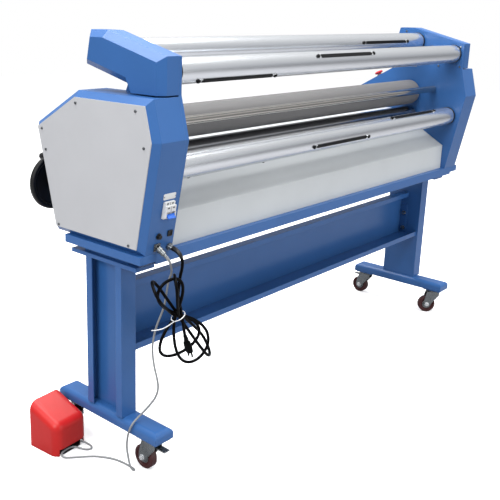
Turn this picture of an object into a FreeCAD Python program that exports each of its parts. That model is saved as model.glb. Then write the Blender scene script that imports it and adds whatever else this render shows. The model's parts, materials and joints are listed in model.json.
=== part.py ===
"""Cold roll laminator on a wheeled stand, with a foot pedal and its cords. Millimetres.

+X runs along the rollers, from the electrical cabinet (left, -X) to the far cabinet (right, +X).
-Y is the rear, where the take-up shafts and the sloping cover are; +Y is the operator's side.
+Z is up and z = 0 is the floor. The origin lies on the floor midway between the four casters.
"""
import FreeCAD, Part
import math
import os
import Sketcher

V = FreeCAD.Vector
LEFT = -1
RIGHT = 1

doc = FreeCAD.newDocument("ColdRollLaminator")
dims = doc.addObject("Spreadsheet::Sheet", "dims")

SIZES = {
    # side frames and cabinets, as distances from the middle of the machine
    "frame_in": 854, "frame_thick": 12, "shell_end": 974, "bevel": 18, "panel_thick": 2.5, "wall": 2,
    "top_level": 1112, "top_front": 82, "top_rear": -219, "rear_edge": -248, "rear_level": 1001,
    "base_level": 685, "base_rear": -188, "base_front": 190, "front_edge": 272, "front_level": 1004,
    # arms that carry the upper shafts
    "arm_end": 930, "arm_bevel": 20, "arm_front": 79, "arm_knee": 8, "arm_top": 1277,
    "arm_rear_top": 1217, "arm_foot": 1116, "arm_neck": -103, "arm_step": 1133, "arm_nose": 100,
    "arm_nose_level": 1182,
    # main rollers
    "nip_y": 5, "top_axis": 1003, "bottom_axis": 889.4, "roller_radius": 52, "core_radius": 44,
    "roller_half": 838, "journal_radius": 15, "journal_end": 892, "lift_up": 18, "lift_down": 9.5,
    "fit": 0.05, "centre_hole": 2,
    # idler rod and media shafts
    "rod_y": -101, "rod_z": 1023, "rod_radius": 14, "rod_pin": 8,
    "media_radius": 36.5, "media_half": 842, "cap_end": 850, "axle_radius": 10, "axle_end": 864,
    "up_front_y": -6, "up_front_z": 1219, "up_rear_y": -174, "up_rear_z": 1174,
    "low_rear_y": -175, "low_rear_z": 914,
    # sheet metal between the cabinets
    "apron_rear": -168, "apron_fold": 784.5, "apron_front": -66, "apron_top": 845, "sheet": 1.5,
    "table_rear": 72, "table_front": 250, "table_level": 926, "table_half": 834,
    # base frame
    "beam_out": 975, "beam_in": 915, "beam_low": 661, "beam_front": 136, "rail_low": 653,
    "rail_depth": 30,
    # stand
    "leg_in": 888, "leg_out": 945, "leg_half": 78, "leg_sheet": 4, "leg_lip": 26, "leg_web": 915,
    "head_low": 624, "head_top": 636, "head_out": 947, "head_half": 141,
    "foot_in": 872, "foot_out": 946, "foot_half": 222, "foot_low": 110, "foot_top": 148,
    "tie_back": 19, "tie_top": 543, "tie_low": 348, "tie_sheet": 3, "tie_upper": -18, "tie_lower": -71,
    "tie_lip": 20,
    # casters
    "caster_x": 909, "caster_y": 175, "plate_low": 107, "trail": 30, "wheel_radius": 37.5,
    "wheel_half": 12, "wheel_bore": 5, "kingpin": 5, "brake_z": 88,
    # lift and drive
    "lift_y": 80, "lift_z": 850, "lift_radius": 8, "pinion_radius": 14.6, "worm_wheel_radius": 24.6,
    "wheel_x": -915, "wheel_z": 815, "wheel_y": 265, "handwheel_radius": 85,
    "motor_y": -95, "motor_z": 735, "sprocket_radius": 24, "chain_gap": 0.6, "chain_depth": 6.5,
    # pedal, in its own frame: x from its right side, y from its rear
    "pedal_width": 130, "pedal_depth": 121, "pedal_rear_top": 104, "pedal_front_top": 150,
    "pedal_wall": 3, "pedal_round": 28, "hinge_y": 26, "hinge_z": 24,
    # cords
    "signal_radius": 3, "mains_radius": 4.5, "hank_back": 214, "hank_front": 256, "hank_step": 238,
}
for row, (alias, value) in enumerate(SIZES.items(), start=1):
    dims.set("A%d" % row, alias)
    dims.set("B%d" % row, str(value))
    dims.setAlias("B%d" % row, alias)
doc.recompute()

nodes = []


def full(expression):
    """An expression with every size's name looked up in the sheet."""
    text = str(expression)
    words = sorted(SIZES, key=len, reverse=True)
    out = ""
    while text:
        word = next((w for w in words if text.startswith(w)), None)
        if word and not out[-1:].isalnum() and out[-1:] not in ("_", "."):
            out += "dims." + word
            text = text[len(word):]
        else:
            out += text[0]
            text = text[1:]
    return out


def number(expression):
    return float(dims.evalExpression(full(expression)))


def node(item, label):
    item.Label = label
    nodes.append(item)
    return item


# ---------------------------------------------------------------- PartDesign helpers

def new_body(name):
    return doc.addObject("PartDesign::Body", name)


def new_sketch(body, role, offset="0"):
    sketch = body.newObject("Sketcher::SketchObject", body.Name + "_sketch")
    plane = next(f for f in body.Origin.OriginFeatures if f.Role == role)
    sketch.AttachmentSupport = (plane, [""])
    sketch.MapMode = "FlatFace"
    sketch.setExpression(".AttachmentOffset.Base.z", full(offset))
    return sketch


def pin_point(sketch, geometry, vertex, across, up):
    """Hold a point at a pair of expressions in the sketch's own axes."""
    for kind, axis, expression in (("DistanceX", -2, across), ("DistanceY", -1, up)):
        value = number(expression)
        if abs(value) < 1e-9:
            sketch.addConstraint(Sketcher.Constraint("PointOnObject", geometry, vertex, axis))
            continue
        index = sketch.addConstraint(Sketcher.Constraint(kind, -1, 1, geometry, vertex, value))
        sketch.setExpression("Constraints[%d]" % index, full(expression))


def polygon(sketch, corners):
    """A closed outline through corners, each a pair of expressions."""
    spots = [V(number(a), number(b), 0) for a, b in corners]
    first = sketch.GeometryCount
    count = len(corners)
    for i in range(count):
        sketch.addGeometry(Part.LineSegment(spots[i], spots[(i + 1) % count]), False)
    for i in range(count):
        after = first + (i + 1) % count
        sketch.addConstraint(Sketcher.Constraint("Coincident", first + i, 2, after, 1))
    for i, (a, b) in enumerate(corners):
        pin_point(sketch, first + i, 1, a, b)


def circle(sketch, across, up, radius):
    spot = V(number(across), number(up), 0)
    index = sketch.addGeometry(Part.Circle(spot, V(0, 0, 1), number(radius)), False)
    pin_point(sketch, index, 3, across, up)
    size = sketch.addConstraint(Sketcher.Constraint("Radius", index, number(radius)))
    sketch.setExpression("Constraints[%d]" % size, full(radius))


def pad(body, sketch, length):
    feature = body.newObject("PartDesign::Pad", body.Name + "_pad")
    feature.Profile = sketch
    feature.setExpression("Length", full(length))
    body.Tip = feature
    return feature


def pocket(body, sketch):
    """Cut the sketch right through the body, both ways."""
    feature = body.newObject("PartDesign::Pocket", body.Name + "_pocket")
    feature.Profile = sketch
    feature.Type = 1
    feature.Midplane = True
    body.Tip = feature
    return feature


def revolve(body, sketch, axis):
    """Turn the sketch about its own H_Axis or V_Axis."""
    feature = body.newObject("PartDesign::Revolution", body.Name + "_turned")
    feature.Profile = sketch
    feature.ReferenceAxis = (sketch, [axis])
    feature.Angle = 360
    body.Tip = feature
    return feature


def span(side, inner, outer):
    """The lower x and the length of a piece between two distances on one side."""
    low = "-(%s)" % outer if side == LEFT else "%s" % inner
    return low, "(%s) - (%s)" % (outer, inner)


def prism_x(name, corners, low, length, holes=()):
    """A piece of constant section along X; corners are (y, z) expressions."""
    body = new_body(name)
    sketch = new_sketch(body, "YZ_Plane", low)
    polygon(sketch, corners)
    pad(body, sketch, length)
    if holes:
        cut = new_sketch(body, "YZ_Plane", low)
        for hole in holes:
            if len(hole) == 3:
                circle(cut, *hole)
            else:
                polygon(cut, hole)
        pocket(body, cut)
    return body


def edges_at(shape, test):
    """Names of the edges whose every end point passes the test."""
    return ["Edge%d" % (i + 1) for i, edge in enumerate(shape.Edges)
            if all(test(v.Point) for v in edge.Vertexes)]


def dress(body, kind, edges, **sizes):
    """A PartDesign fillet or chamfer on edges of the body's tip."""
    base = body.Tip
    feature = body.newObject("PartDesign::" + kind, body.Name + "_" + kind.lower())
    feature.Base = (base, edges)
    for name, expression in sizes.items():
        feature.setExpression(name, full(expression))
    body.Tip = feature
    return feature


def hollow(body, faces, thickness):
    """Leave walls of the given thickness inside the tip, open at the named faces."""
    base = body.Tip
    feature = body.newObject("PartDesign::Thickness", body.Name + "_walls")
    feature.Base = (base, faces)
    feature.setExpression("Value", full(thickness))
    feature.Reversed = True
    feature.Join = 1
    body.Tip = feature
    return feature


def faces_at(shape, test):
    return ["Face%d" % (i + 1) for i, face in enumerate(shape.Faces)
            if all(test(v.Point) for v in face.Vertexes)]


# ---------------------------------------------------------------- Part helpers

TURN = {"x": FreeCAD.Rotation(V(0, 1, 0), 90), "y": FreeCAD.Rotation(V(1, 0, 0), -90),
        "z": FreeCAD.Rotation()}


def box(name, x, y, z):
    """A block; x, y and z are pairs of expressions, low and high."""
    item = doc.addObject("Part::Box", name)
    for (low, high), size, place in zip((x, y, z), ("Length", "Width", "Height"), "xyz"):
        item.setExpression(size, full("(%s) - (%s)" % (high, low)))
        item.setExpression(".Placement.Base." + place, full(low))
    return item


def block_at(name, length, width, height, placement):
    """A block of given size whose low corner stands at a placement."""
    item = doc.addObject("Part::Box", name)
    for size, expression in (("Length", length), ("Width", width), ("Height", height)):
        item.setExpression(size, full(expression))
    item.Placement = placement
    return item


def rod(name, axis, radius, low, high, across, up):
    """A cylinder along axis from low to high; across and up are its other two places in order."""
    item = doc.addObject("Part::Cylinder", name)
    item.Placement = FreeCAD.Placement(V(), TURN[axis])
    item.setExpression("Radius", full(radius))
    item.setExpression("Height", full("(%s) - (%s)" % (high, low)))
    places = {"x": (low, across, up), "y": (across, low, up), "z": (across, up, low)}[axis]
    for place, expression in zip("xyz", places):
        item.setExpression(".Placement.Base." + place, full(expression))
    return item


def fuse(name, *items):
    item = doc.addObject("Part::MultiFuse", name)
    item.Shapes = list(items)
    return item


def cut(name, base, *tools):
    item = doc.addObject("Part::Cut", name)
    item.Base = base
    item.Tool = tools[0] if len(tools) == 1 else fuse(name + "_tools", *tools)
    return item


def group(name, *items):
    """Separate solids that share one node."""
    item = doc.addObject("Part::Compound", name)
    item.Links = list(items)
    return item


def side_name(side):
    return "left" if side == LEFT else "right"


def side_x(side, near, far):
    """A pair of x expressions at two distances from the middle, in rising order."""
    if side == LEFT:
        return "-(%s)" % far, "-(%s)" % near
    return str(near), str(far)


# ---------------------------------------------------------------- places on the cabinets' sloping faces

REAR_TILT = math.degrees(math.atan2(number("base_rear - rear_edge"), number("rear_level - base_level")))
SLOPE_TILT = math.degrees(math.atan2(number("front_edge - top_front"), number("top_level - front_level")))


def on_rear(x, z):
    """A placement on the left cabinet's rear face: local -Y points out of it."""
    rise = (z - number("base_level")) / number("rear_level - base_level")
    y = number("base_rear") + rise * number("rear_edge - base_rear")
    return FreeCAD.Placement(V(x, y, z), FreeCAD.Rotation(V(1, 0, 0), REAR_TILT))


def on_slope(x, y):
    """A placement on a cabinet's sloping front face: local +Z points out of it."""
    fall = (y - number("top_front")) / number("front_edge - top_front")
    z = number("top_level") - fall * number("top_level - front_level")
    return FreeCAD.Placement(V(x, y, z), FreeCAD.Rotation(V(1, 0, 0), SLOPE_TILT - 90))


KNOBS = {"speed_knob": 135, "run_switch": 205}


# ---------------------------------------------------------------- stand

def make_leg(side):
    """A box column with a lipped recess outside, a head plate and a riser up to the base frame."""
    name = "leg_" + side_name(side)
    mark = "-1" if side == LEFT else "1"
    inner, outer, edge, skin = "leg_in", "leg_out", "leg_half", "leg_sheet"
    half = [(inner, edge), (outer, edge), (outer, edge + " - leg_lip"),
            (outer + " - " + skin, edge + " - leg_lip"), (outer + " - " + skin, edge + " - " + skin),
            ("leg_web", edge + " - " + skin)]
    section = half + [(x, "-(%s)" % y) for x, y in reversed(half)]
    cavity = [(inner + " + " + skin, edge + " - " + skin), ("leg_web - " + skin, edge + " - " + skin)]
    cavity += [(x, "-(%s)" % y) for x, y in reversed(cavity)]
    body = new_body(name + "_post")
    sketch = new_sketch(body, "XY_Plane", "foot_top")
    for outline in (section, cavity):
        polygon(sketch, [("%s * (%s)" % (mark, x), y) for x, y in outline])
    pad(body, sketch, "head_low - foot_top")
    plate = box(name + "_head", side_x(side, "leg_in - 14", "head_out"), ("-head_half", "head_half"),
                ("head_low", "head_top"))
    riser = box(name + "_riser", side_x(side, "leg_in - 2", "leg_out - 12"),
                ("-head_half + 46", "head_half - 46"), ("head_top", "beam_low"))
    return node(fuse(name, body, plate, riser), name)


def make_foot(side):
    """The floor beam with rounded ends, and the two caster plates under it."""
    name = "foot_" + side_name(side)
    low, length = span(side, "foot_in", "foot_out")
    beam = prism_x(name + "_beam", [("-foot_half", "foot_low"), ("foot_half", "foot_low"),
                                    ("foot_half", "foot_top"), ("-foot_half", "foot_top")], low, length)
    doc.recompute()
    end, top = number("foot_half"), number("foot_top")
    upper = edges_at(beam.Shape, lambda p: abs(abs(p.y) - end) < 0.1 and p.z > top - 1)
    dress(beam, "Fillet", upper, Radius="18")
    doc.recompute()
    lower = edges_at(beam.Shape, lambda p: abs(abs(p.y) - end) < 0.1 and p.z < number("foot_low") + 1)
    dress(beam, "Fillet", lower, Radius="7")
    plates = []
    for i, mark in enumerate(("-", "")):
        plate = box("%s_plate_%d" % (name, i), side_x(side, "caster_x - 30", "caster_x + 30"),
                    (mark + "caster_y - 40", mark + "caster_y + 40"), ("plate_low", "foot_low"))
        spot = "-caster_x" if side == LEFT else "caster_x"
        hole = rod("%s_pin_hole_%d" % (name, i), "z", "kingpin + fit", "plate_low - 1", "foot_low + 1",
                   spot, mark + "caster_y")
        plates.append(cut("%s_top_plate_%d" % (name, i), plate, hole))
    return node(group(name, beam, *plates), name)


def make_stretcher():
    """A folded channel between the legs, open to the rear, with a bolting tab at each end."""
    back, skin, lip = "tie_back", "tie_sheet", "tie_lip"
    upper, lower, top, low = "tie_upper", "tie_lower", "tie_top", "tie_low"
    body = prism_x("stretcher_channel", [
        (back, top), (upper, top), (upper, top + " - " + lip), (upper + " + " + skin, top + " - " + lip),
        (upper + " + " + skin, top + " - " + skin), (back + " - " + skin, top + " - " + skin),
        (back + " - " + skin, low + " + " + skin), (lower + " + " + skin, low + " + " + skin),
        (lower + " + " + skin, low + " + " + lip), (lower, low + " + " + lip), (lower, low), (back, low),
    ], "-leg_in", "2 * leg_in")
    tabs = [box("stretcher_tab_" + side_name(s), side_x(s, "leg_in - tie_sheet", "leg_in"),
                ("-18", back + " - " + skin), (low + " + 14", top + " - 60")) for s in (LEFT, RIGHT)]
    return node(fuse("stretcher", body, *tabs), "stretcher")


def make_stretcher_bolts():
    """Two hexagon bolts through each tab into the leg's web, with their washers."""
    bolts = []
    for side in (LEFT, RIGHT):
        for level in ("tie_low + 97", "tie_low + 26"):
            name = "bolt_%s_%d" % (side_name(side), len(bolts))
            washer_low, washer_high = side_x(side, "leg_in - tie_sheet - 2", "leg_in - tie_sheet")
            washer = rod(name + "_washer", "x", "10", washer_low, washer_high, "-3", level)
            head = doc.addObject("Part::Prism", name + "_head")
            head.Polygon = 6
            head.Circumradius = 8.5
            head.Height = 6
            head.Placement = FreeCAD.Placement(V(0, -3, 0), TURN["x"])
            head_low = side_x(side, "leg_in - tie_sheet - 8", "leg_in - tie_sheet - 2")[0]
            head.setExpression(".Placement.Base.x", full(head_low))
            head.setExpression(".Placement.Base.z", full(level))
            bolts.append(fuse(name, washer, head))
    return node(group("stretcher_bolts", *bolts), "stretcher_bolts")


def make_base_frame():
    """Two cross beams under the cabinets and the two long rails welded between them."""
    beams = [box("beam_" + side_name(s), side_x(s, "beam_in", "beam_out"), ("base_rear", "beam_front"),
                 ("beam_low", "base_level")) for s in (LEFT, RIGHT)]
    rails = []
    for name, low, high in (("rail_rear", "base_rear", "base_rear + rail_depth"),
                            ("rail_front", "beam_front - rail_depth", "beam_front")):
        tube = box(name + "_tube", ("-beam_in", "beam_in"), (low, high), ("rail_low", "base_level"))
        bore = box(name + "_bore", ("-beam_in", "beam_in"), (low + " + 2.5", high + " - 2.5"),
                   ("rail_low + 2.5", "base_level - 2.5"))
        rails.append(cut(name, tube, bore))
    return node(group("base_frame", *(beams + rails)), "base_frame")


# ---------------------------------------------------------------- cabinets and arms

CABINET = [("base_rear", "base_level"), ("base_front", "base_level"), ("front_edge", "front_level"),
           ("top_front", "top_level"), ("top_rear", "top_level"), ("rear_edge", "rear_level")]


def make_side_frame(side):
    """The steel plate that carries the rollers; its upper arm carries two media shafts."""
    name = "side_frame_" + side_name(side)
    low, length = span(side, "frame_in", "frame_in + frame_thick")
    arm = [("-14", "top_level"), ("-28", "1143"), ("arm_nose - 1", "arm_nose_level"),
           ("arm_front - 1", "arm_top - 1"), ("arm_knee", "arm_top - 1"),
           ("top_rear + 1", "arm_rear_top - 1"), ("top_rear + 1", "top_level + 4")]
    slot_low = "top_axis - lift_down - journal_radius - 1.5"
    slot_high = "top_axis + lift_up + journal_radius + 1.5"
    slot = [("nip_y - 16.5", slot_low), ("nip_y + 16.5", slot_low), ("nip_y + 16.5", slot_high),
            ("nip_y - 16.5", slot_high)]
    holes = [slot, ("nip_y", "bottom_axis", "journal_radius + 2"), ("rod_y", "rod_z", "rod_pin + fit"),
             ("up_front_y", "up_front_z", "axle_radius + fit"),
             ("up_rear_y", "up_rear_z", "axle_radius + fit"),
             ("low_rear_y", "low_rear_z", "axle_radius + fit"),
             ("lift_y", "lift_z", "lift_radius + fit")]
    body = prism_x(name + "_plate", CABINET[:4] + arm + CABINET[4:], low, length, holes)
    rails = [box("%s_guide_%d" % (name, i),
                 side_x(side, "frame_in + frame_thick", "frame_in + frame_thick + 14"),
                 (a, b), ("top_axis - 60", "top_axis + 75"))
             for i, (a, b) in enumerate((("nip_y - 47", "nip_y - 36"), ("nip_y + 36", "nip_y + 47")))]
    return node(fuse(name, body, *rails), name)


def make_shell(side):
    """The folded sheet cover round a cabinet, with a bevelled outer rim."""
    name = "cabinet_shell_" + side_name(side)
    low, length = span(side, "frame_in + frame_thick", "shell_end")
    body = prism_x(name + "_sheet", CABINET, low, length)
    doc.recompute()
    end = number("shell_end")
    rim = edges_at(body.Shape, lambda p: abs(abs(p.x) - end) < 0.1)
    dress(body, "Chamfer", rim, Size="bevel")
    doc.recompute()
    start = number("frame_in + frame_thick")
    open_faces = faces_at(body.Shape, lambda p: abs(abs(p.x) - end) < 0.1)
    open_faces += faces_at(body.Shape, lambda p: abs(abs(p.x) - start) < 0.1)
    hollow(body, open_faces, "wall")
    if side == RIGHT:
        return node(body, name)
    holes = [rod(name + "_shaft_hole", "y", "lift_radius + 0.5", "150", "front_edge + 10",
                 "wheel_x", "wheel_z")]
    for knob, y in KNOBS.items():
        hole = group(name + "_hole_" + knob, rod(knob + "_drill", "z", "3.4", "-10", "5", "0", "0"))
        hole.Placement = on_slope(-905, y)
        holes.append(hole)
    return node(cut(name, body, *holes), name)


def make_end_panel(side):
    """The flat plate screwed on the shell's rim."""
    name = "end_panel_" + side_name(side)
    corners = [V(0, number(y), number(z)) for y, z in CABINET]
    outline = Part.makePolygon(corners + corners[:1])
    inset = outline.makeOffset2D(-number("bevel"), 2)
    thick = V(number("panel_thick"), 0, 0)
    item = doc.addObject("Part::Feature", name)
    item.Shape = Part.Face(inset).extrude(thick)
    start = number("shell_end") if side == RIGHT else -number("shell_end") - number("panel_thick")
    item.Placement.Base.x = start
    return node(item, name)


def make_arm(side):
    """The bevelled cover outside a side frame's upper arm."""
    name = "arm_housing_" + side_name(side)
    low, length = span(side, "frame_in + frame_thick", "arm_end")
    body = prism_x(name, [
        ("arm_neck", "arm_foot"), ("arm_neck + 9", "arm_step"), ("arm_nose", "arm_nose_level"),
        ("arm_front", "arm_top"), ("arm_knee", "arm_top"), ("top_rear", "arm_rear_top"),
        ("top_rear", "arm_foot")], low, length)
    doc.recompute()
    end = number("arm_end")
    under = ((number("arm_neck"), number("arm_foot")), (number("arm_neck") + 9, number("arm_step")))

    def is_under(edge):
        return all(any(abs(v.Y - y) < 0.1 and abs(v.Z - z) < 0.1 for y, z in under)
                   or v.Z < number("arm_foot") + 0.1 for v in edge.Vertexes)

    rim = ["Edge%d" % (i + 1) for i, edge in enumerate(body.Shape.Edges)
           if all(abs(abs(v.X) - end) < 0.1 for v in edge.Vertexes) and not is_under(edge)]
    dress(body, "Chamfer", rim, Size="arm_bevel")
    doc.recompute()
    start = number("frame_in + frame_thick")
    hollow(body, faces_at(body.Shape, lambda p: abs(abs(p.x) - start) < 0.1), "wall")
    return node(body, name)


def make_cover_screws():
    """Button-head screws: seven on each end panel and four that hold each arm cover."""
    screws = []
    panel_spots = (("72", "1078"), ("-172", "1078"), ("231", "990"), ("-203", "985"), ("215", "929"),
                   ("162", "710"), ("-143", "710"))
    arm_spots = (("47", "1262"), ("-203", "1204"), ("-114", "1122"), ("-208", "1122"))
    for side in (LEFT, RIGHT):
        face = "shell_end + panel_thick"
        outside = side_x(side, face, face + " + 2.2")
        inside = side_x(side, "frame_in - 2.2", "frame_in")
        for (low, high), spots in ((outside, panel_spots), (inside, arm_spots)):
            for y, z in spots:
                screws.append(rod("screw_%d" % len(screws), "x", "4", low, high, y, z))
    return node(group("cover_screws", *screws), "cover_screws")


# ---------------------------------------------------------------- sheet metal between the cabinets

def make_rear_apron():
    """The grey cover behind the rollers: an upright sheet folded over into a slope."""
    rear, fold, front, top, skin = "apron_rear", "apron_fold", "apron_front", "apron_top", "sheet"
    return node(prism_x("rear_apron", [
        (rear, "base_level"), (rear, fold), (front, top), (front + " + 9", top),
        (front + " + 9", top + " - 16"), (front + " + 9 - " + skin, top + " - 16"),
        (front + " + 9 - " + skin, top + " - " + skin), (front + " + 0.4", top + " - " + skin),
        (rear + " + " + skin, fold + " - 0.9"), (rear + " + " + skin, "base_level")],
        "-frame_in", "2 * frame_in"), "rear_apron")


def make_front_table():
    """The operator's feed table with turned-down edges and a foot at each side frame."""
    rear, front, top = "table_rear", "table_front", "table_level"
    body = prism_x("front_table_sheet", [
        (rear, top), (front, top), (front, top + " - 30"), (front + " - 2", top + " - 30"),
        (front + " - 2", top + " - 2"), (rear + " + 2", top + " - 2"), (rear + " + 2", top + " - 14"),
        (rear, top + " - 14")], "-table_half", "2 * table_half")
    feet = [box("front_table_foot_" + side_name(s), side_x(s, "table_half - 20", "frame_in"),
                (rear + " + 20", front + " - 20"), (top + " - 12", top + " - 2")) for s in (LEFT, RIGHT)]
    return node(fuse("front_table", body, *feet), "front_table")


# ---------------------------------------------------------------- rollers and shafts

def turned(name, steps, y, z, hollow_half=None, hollow_radius=None):
    """A shaft along X; steps are (x, radius) stations of its outline, from -X to +X.

    A hollow shaft has a bore of hollow_radius between -hollow_half and +hollow_half, which a
    fine centre hole joins to both ends.
    """
    body = new_body(name)
    sketch = new_sketch(body, "XZ_Plane")
    first, last = steps[0][0], steps[-1][0]
    if hollow_half:
        half, hole = hollow_half, "centre_hole"
        inside = [(last, hole), (half, hole), (half, hollow_radius), ("-(%s)" % half, hollow_radius),
                  ("-(%s)" % half, hole), (first, hole)]
        polygon(sketch, list(steps) + inside)
    else:
        polygon(sketch, [(first, "0")] + list(steps) + [(last, "0")])
    revolve(body, sketch, "H_Axis")
    for place, expression in (("y", y), ("z", z)):
        body.setExpression(".Placement.Base." + place, full(expression))
    return body


def stepped(*pairs):
    """Stations of a shaft that is the same at both ends, from (end, radius) pairs, inmost first."""
    right = []
    for end, radius in pairs:
        if right:
            right.append((right[-1][0], radius))
        right.append((end, radius))
    return [("-(%s)" % x, radius) for x, radius in reversed(right)] + right


def make_top_roller():
    core = turned("top_roller_core", stepped(("roller_half", "core_radius"),
                                             ("journal_end", "journal_radius")),
                  "nip_y", "top_axis", "roller_half - 12", "core_radius - 8")
    node(core, "top_roller_core")
    outer = rod("sleeve_outer", "x", "roller_radius", "-roller_half", "roller_half", "nip_y", "top_axis")
    inner = rod("sleeve_inner", "x", "core_radius", "-roller_half - 1", "roller_half + 1", "nip_y",
                "top_axis")
    return node(cut("top_roller_sleeve", outer, inner), "top_roller_sleeve")


def toothed(name, low, high, y, z, radius, teeth, depth):
    """A toothed wheel along X: a disc with round gaps cut at its rim."""
    body = new_body(name)
    sketch = new_sketch(body, "YZ_Plane", low)
    circle(sketch, "0", "0", radius)
    pad(body, sketch, "(%s) - (%s)" % (high, low))
    gap = new_sketch(body, "YZ_Plane", low)
    circle(gap, "0", radius, depth)
    hole = pocket(body, gap)
    pattern = body.newObject("PartDesign::PolarPattern", name + "_teeth")
    pattern.Originals = [hole]
    pattern.Axis = (next(f for f in body.Origin.OriginFeatures if f.Role == "X_Axis"), [""])
    pattern.Angle = 360
    pattern.Occurrences = teeth
    body.Tip = pattern
    for place, expression in (("y", y), ("z", z)):
        body.setExpression(".Placement.Base." + place, full(expression))
    return body


def make_bottom_roller():
    """The driven roller with the chain sprocket keyed on its left journal."""
    body = turned("bottom_roller_body", [
        ("-896", "journal_radius"), ("-roller_half", "journal_radius"), ("-roller_half", "roller_radius"),
        ("roller_half", "roller_radius"), ("roller_half", "journal_radius"), ("884", "journal_radius")],
        "nip_y", "bottom_axis", "roller_half - 12", "roller_radius - 8")
    ring = toothed("roller_sprocket_disc", "-892", "-884", "nip_y", "bottom_axis", "sprocket_radius",
                   16, "2.4")
    bore = rod("roller_sprocket_bore", "x", "journal_radius", "-900", "-880", "nip_y", "bottom_axis")
    return node(group("bottom_roller", body, cut("roller_sprocket", ring, bore)), "bottom_roller")


def make_guide_rod():
    return node(turned("guide_rod", stepped(("cap_end", "rod_radius"), ("axle_end", "rod_pin")),
                       "rod_y", "rod_z"), "guide_rod")


def make_media_shaft(name, y, z):
    """An aluminium tube with a stepped plug and an axle pin at each end."""
    shaft = turned(name, stepped(
        ("media_half", "media_radius"), ("cap_end", "media_radius - 1.5"),
        ("axle_end", "axle_radius")), y, z, "media_half - 12", "media_radius - 6")
    return node(shaft, name)


# ---------------------------------------------------------------- lift

def make_lift_blocks():
    """The bearing blocks of the top roller, each with an arm and a rack down to the lift pinion."""
    blocks = []
    for side in (LEFT, RIGHT):
        name = "lift_block_" + side_name(side)
        start = "frame_in + frame_thick + 2"
        main = box(name + "_main", side_x(side, start, "906"), ("nip_y - 35.5", "nip_y + 35.5"),
                   ("top_axis - 35", "top_axis + 35"))
        arm = box(name + "_arm", side_x(side, "898", "906"), ("nip_y + 35", "lift_y - 15"),
                  ("top_axis - 35", "top_axis + 5"))
        rack = box(name + "_rack", side_x(side, "898", "906"), ("lift_y - 30", "lift_y - 15"),
                   ("lift_z - 46", "top_axis - 30"))
        bore_low, bore_high = side_x(side, "frame_in", "journal_end + 2")
        bore = rod(name + "_bore", "x", "journal_radius + fit", bore_low, bore_high, "nip_y", "top_axis")
        blocks.append(cut(name, fuse(name + "_body", main, arm, rack), bore))
    return node(group("lift_blocks", *blocks), "lift_blocks")


def make_lift_shaft():
    """The cross shaft with a pinion at each rack and the worm wheel under the left cabinet's cover."""
    shaft = rod("lift_bar", "x", "lift_radius", "-925", "925", "lift_y", "lift_z")
    pinions = [toothed("pinion_" + side_name(s), *side_x(s, "898", "906"), "lift_y", "lift_z",
                       "pinion_radius", 12, "1.8") for s in (LEFT, RIGHT)]
    wheel = toothed("worm_wheel", "wheel_x - 6", "wheel_x + 6", "lift_y", "lift_z",
                    "worm_wheel_radius", 20, "2")
    return node(fuse("lift_shaft", shaft, wheel, *pinions), "lift_shaft")


def make_handwheel():
    """A dished black handwheel with its spindle, worm and crank grip, all along Y."""
    body = new_body("handwheel_body")
    sketch = new_sketch(body, "XY_Plane")
    face, rim = "wheel_y", "handwheel_radius"
    polygon(sketch, [
        ("0", "lift_y - 12"), ("10", "lift_y - 12"), ("10", "lift_y + 30"),
        ("lift_radius", "lift_y + 30"), ("lift_radius", face + " - 12"), ("19", face + " - 12"),
        ("19", face + " - 1"), (rim + " - 17", face + " - 3"), (rim + " - 12", face + " - 8"),
        (rim + " - 4", face + " - 8"), (rim, face + " - 4"), (rim, face + " + 5"),
        (rim + " - 4", face + " + 9"), (rim + " - 12", face + " + 9"), (rim + " - 17", face + " + 4"),
        ("19", face + " + 5"), ("17", face + " + 18"), ("0", face + " + 18")])
    revolve(body, sketch, "V_Axis")
    for place, expression in (("x", "wheel_x"), ("z", "wheel_z")):
        body.setExpression(".Placement.Base." + place, full(expression))
    grip = rod("handwheel_grip", "y", "9", "wheel_y + 6", "wheel_y + 58", "wheel_x", "wheel_z + 72")
    return node(fuse("handwheel", body, grip), "handwheel")


# ---------------------------------------------------------------- drive

def make_bottom_bearings():
    rings = []
    for side in (LEFT, RIGHT):
        name = "bottom_bearing_" + side_name(side)
        low, high = side_x(side, "frame_in + frame_thick", "frame_in + frame_thick + 14")
        outer = rod(name + "_outer", "x", "29", low, high, "nip_y", "bottom_axis")
        inner = rod(name + "_inner", "x", "journal_radius + fit", low + " - 1", high + " + 1", "nip_y",
                    "bottom_axis")
        rings.append(cut(name, outer, inner))
    return node(group("bottom_bearings", *rings), "bottom_bearings")


def make_gearmotor():
    """A worm gearmotor on four stand-offs from the left side frame."""
    case = box("gearmotor_case", ("-952", "-896"), ("motor_y - 35", "motor_y + 35"),
               ("motor_z - 35", "motor_z + 35"))
    motor = rod("gearmotor_motor", "y", "30", "motor_y + 35", "motor_y + 175", "-924", "motor_z")
    posts = [box("gearmotor_post_%d" % i, ("-896.5", "-frame_in - frame_thick"),
                 ("motor_y + %s" % y, "motor_y + %s + 10" % y), ("motor_z + %s" % z, "motor_z + %s + 10" % z))
             for i, (y, z) in enumerate(((-34, -34), (24, -34), (-34, 24), (24, 24)))]
    return node(fuse("gearmotor", case, motor, *posts), "gearmotor")


def make_motor_sprocket():
    ring = toothed("motor_sprocket_disc", "-892", "-884", "motor_y", "motor_z", "sprocket_radius",
                   16, "2.4")
    shaft = rod("motor_output", "x", "8", "-895.5", "-878", "motor_y", "motor_z")
    return node(fuse("motor_sprocket", ring, shaft), "motor_sprocket")


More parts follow.
